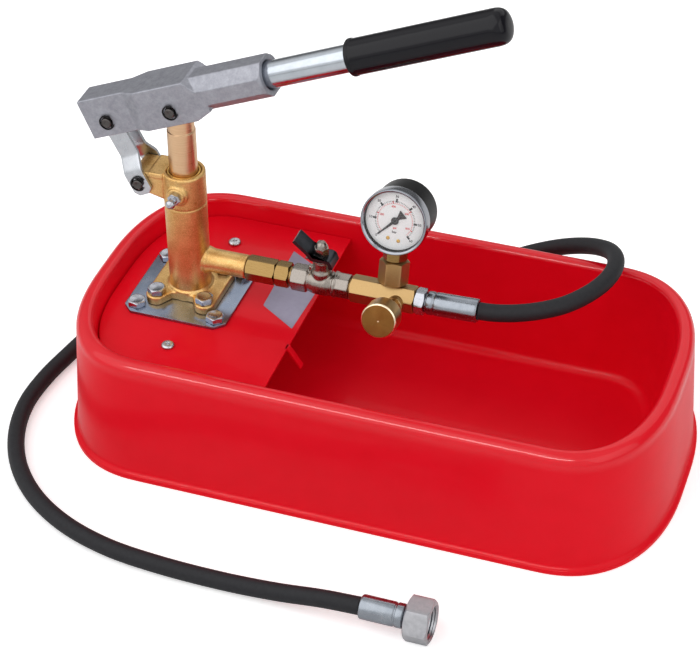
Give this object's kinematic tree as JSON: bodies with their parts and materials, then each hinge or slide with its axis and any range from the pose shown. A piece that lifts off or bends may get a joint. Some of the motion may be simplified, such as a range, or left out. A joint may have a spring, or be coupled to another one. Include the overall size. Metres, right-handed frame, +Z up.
{
  "type": "hydrostatic test pump",
  "caption": "Hand-lever pressure test pump on a pressed steel water tank, with an outlet valve, pressure gauge, bleed screw and hose with a union nut.",
  "frame": {"origin": "centre of the tank base, on the surface it stands on", "axes": "+X along the tank, from the pump towards the open end of the basin, +Y to the back, away from the gauge face, +Z up"},
  "size_m": [0.4091, 0.3106, 0.3004],
  "materials": {
    "red_paint": "glossy red powder coat",
    "zinc": "zinc plate, satin",
    "cast_brass": "as-cast brass, lightly tumbled",
    "bright_brass": "machined brass",
    "piston_bronze": "ground and polished",
    "seal_rubber": "matte",
    "cast_aluminium": "blasted casting, matte",
    "bright_tube": "bright plated tube",
    "black_grip": "glossy black vinyl",
    "black_steel": "blackened steel",
    "nickel": "satin nickel plate",
    "dark_handle": "dark grey coated steel strip",
    "case_black": "black, semi-gloss",
    "bezel_grey": "grey, satin",
    "dial_white": "white printed dial",
    "clear_lens": "clear",
    "hose_rubber": "matte black, cloth-wrapped finish"
  },
  "bodies": {
    "base": {"tank": "red_paint", "cover_plate": "red_paint", "cover_bridge": "red_paint", "cover_screw_front": "zinc", "cover_screw_back": "zinc", "mounting_plate": "zinc", "plate_bolt_1": "zinc", "plate_bolt_2": "zinc", "plate_bolt_3": "zinc", "plate_bolt_4": "zinc", "plate_nut_1": "zinc", "plate_nut_2": "zinc", "plate_nut_3": "zinc", "plate_nut_4": "zinc", "flange_bolt_1": "zinc", "flange_bolt_2": "zinc", "flange_bolt_3": "zinc", "flange_bolt_4": "zinc", "grease_nipple": "zinc", "suction_tube": "zinc", "hose_nut_near": "zinc", "hose_ferrule_near": "zinc", "hose_ferrule_far": "zinc", "pump_body": "cast_brass", "gland_ring": "bright_brass", "suction_strainer": "bright_brass", "outlet_adaptor": "bright_brass", "adaptor_nut": "bright_brass", "tee_block": "bright_brass", "gauge_stem": "bright_brass", "piston_seal": "seal_rubber", "body_pin": "black_steel", "body_pin_clip": "black_steel", "valve_body": "nickel", "gauge_case": "case_black", "gauge_bezel": "bezel_grey", "gauge_dial": "dial_white", "gauge_lens": "clear_lens", "hose": "hose_rubber"},
    "ram": {"piston": "piston_bronze"},
    "lever": {"lever_head": "cast_aluminium", "lever_tube": "bright_tube", "lever_grip": "black_grip", "piston_pin": "black_steel", "piston_pin_clip": "black_steel", "link_pin_front": "black_steel", "link_pin_back": "black_steel", "link_pin_clip": "black_steel"},
    "links": {"link_front": "zinc", "link_back": "zinc"},
    "valve": {"valve_ball": "zinc", "valve_stem": "zinc", "valve_stop_plate": "nickel", "valve_handle": "dark_handle", "valve_handle_nut": "nickel"},
    "bleed_screw": {"bleed_knob": "bright_brass"},
    "needle": {"gauge_pointer": "case_black"},
    "union_nut": {"hose_nut_far": "zinc"},
    "inlet_ball": {"suction_ball": "zinc"},
    "outlet_ball": {"discharge_ball": "zinc"}
  },
  "joints": [
    {"name": "piston_slide", "type": "slide", "parent": "base", "child": "ram", "axis": [0, 0, 1], "range_m": [-0.0205, 0.0229]},
    {"name": "lever_swing", "type": "hinge", "parent": "ram", "child": "lever", "pos_m": [-0.1245, 0, 0.2075], "axis": [0, -1, 0], "range_deg": [-24.6, 27.4]},
    {"name": "link_swing", "type": "hinge", "parent": "base", "child": "links", "pos_m": [-0.14865, 0, 0.15264], "axis": [0, -1, 0], "range_deg": [-13, 11.7]},
    {"name": "valve_turn", "type": "hinge", "parent": "base", "child": "valve", "pos_m": [-0.039, 0, 0.097], "axis": [0, 0, 1], "range_deg": [-90, 0]},
    {"name": "bleed_turn", "type": "hinge", "parent": "base", "child": "bleed_screw", "pos_m": [0.0096, 0, 0.097], "axis": [0, -0.9613, 0.2756], "range_deg": [0, 720]},
    {"name": "needle_turn", "type": "hinge", "parent": "base", "child": "needle", "pos_m": [0.0046, 0.01367, 0.14468], "axis": [0, 0.9613, -0.2756], "range_deg": [0, 270]},
    {"name": "union_nut_spin", "type": "hinge", "parent": "base", "child": "union_nut", "pos_m": [0.07675, -0.17, 0.012], "axis": [1, 0, 0], "continuous": true},
    {"name": "inlet_ball_lift", "type": "slide", "parent": "base", "child": "inlet_ball", "axis": [0, 0, 1], "range_m": [0, 0.0015]},
    {"name": "outlet_ball_lift", "type": "slide", "parent": "base", "child": "outlet_ball", "axis": [1, 0, 0], "range_m": [0, 0.001]}
  ],
  "couplings": [
    {"joint": "piston_slide", "follows": "lever_swing", "m_per_rad": 0.0473},
    {"joint": "link_swing", "follows": "lever_swing", "ratio": -0.47}
  ]
}
